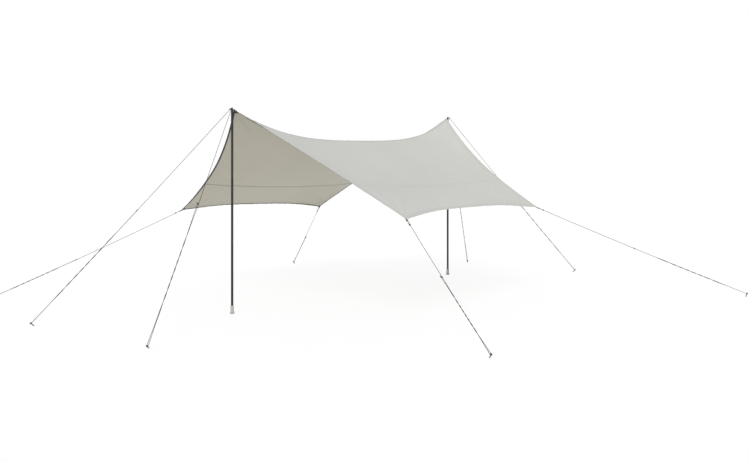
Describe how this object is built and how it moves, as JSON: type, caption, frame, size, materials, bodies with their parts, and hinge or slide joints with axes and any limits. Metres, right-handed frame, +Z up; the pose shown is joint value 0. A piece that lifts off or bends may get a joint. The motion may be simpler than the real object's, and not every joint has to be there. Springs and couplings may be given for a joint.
{
  "type": "hexagonal tarp shelter",
  "caption": "Hexagonal tarp shelter: a sagging cloth canopy raised on dark upright poles under its ridge ends, with webbed corners, guy ropes, rope sliders and ground pegs.",
  "frame": {"origin": "on the ground under the near pole, at the middle of its foot", "axes": "+Z up, +Y along the ridge from the near pole to the far pole, +X across the canopy to its right edge"},
  "size_m": [7.1001, 7.6806, 2.4],
  "materials": {
    "canopy_cloth": "coated polyester cloth, pale beige, matte",
    "patch_cloth": "second layer of the same cloth, a shade darker",
    "black_webbing": "woven black tape",
    "dark_tube": "dark painted steel tube, satin",
    "steel": "zinc-plated",
    "grey_rubber": "moulded, light grey, matte",
    "grey_rope": "braided cord, warm grey",
    "black_slider": "moulded"
  },
  "bodies": {
    "root": {"left_upper_panel": "canopy_cloth", "left_lower_panel": "canopy_cloth", "right_upper_panel": "canopy_cloth", "right_lower_panel": "canopy_cloth", "ridge_tape": "canopy_cloth", "edge_binding": "black_webbing", "near_peak_patch": "patch_cloth", "far_peak_patch": "patch_cloth", "left_near_patch": "patch_cloth", "right_near_patch": "patch_cloth", "left_far_patch": "patch_cloth", "right_far_patch": "patch_cloth", "near_peak_tab": "black_webbing", "far_peak_tab": "black_webbing", "left_near_corner_loop": "black_webbing", "right_near_corner_loop": "black_webbing", "left_far_corner_loop": "black_webbing", "right_far_corner_loop": "black_webbing", "near_pole_foot": "grey_rubber", "near_pole_lower_section": "dark_tube", "near_pole_middle_section": "dark_tube", "near_pole_upper_section": "dark_tube", "near_pole_pin": "steel", "far_pole_foot": "grey_rubber", "far_pole_lower_section": "dark_tube", "far_pole_middle_section": "dark_tube", "far_pole_upper_section": "dark_tube", "far_pole_pin": "steel", "near_pole_left_guy_rope": "grey_rope", "near_pole_left_slider": "black_slider", "near_pole_left_peg": "steel", "near_pole_right_guy_rope": "grey_rope", "near_pole_right_slider": "black_slider", "near_pole_right_peg": "steel", "far_pole_left_guy_rope": "grey_rope", "far_pole_left_slider": "black_slider", "far_pole_left_peg": "steel", "far_pole_right_guy_rope": "grey_rope", "far_pole_right_slider": "black_slider", "far_pole_right_peg": "steel", "left_near_corner_guy_rope": "grey_rope", "left_near_corner_slider": "black_slider", "left_near_corner_peg": "steel", "right_near_corner_guy_rope": "grey_rope", "right_near_corner_slider": "black_slider", "right_near_corner_peg": "steel", "left_far_corner_guy_rope": "grey_rope", "left_far_corner_slider": "black_slider", "left_far_corner_peg": "steel", "right_far_corner_guy_rope": "grey_rope", "right_far_corner_slider": "black_slider", "right_far_corner_peg": "steel"}
  },
  "joints": []
}
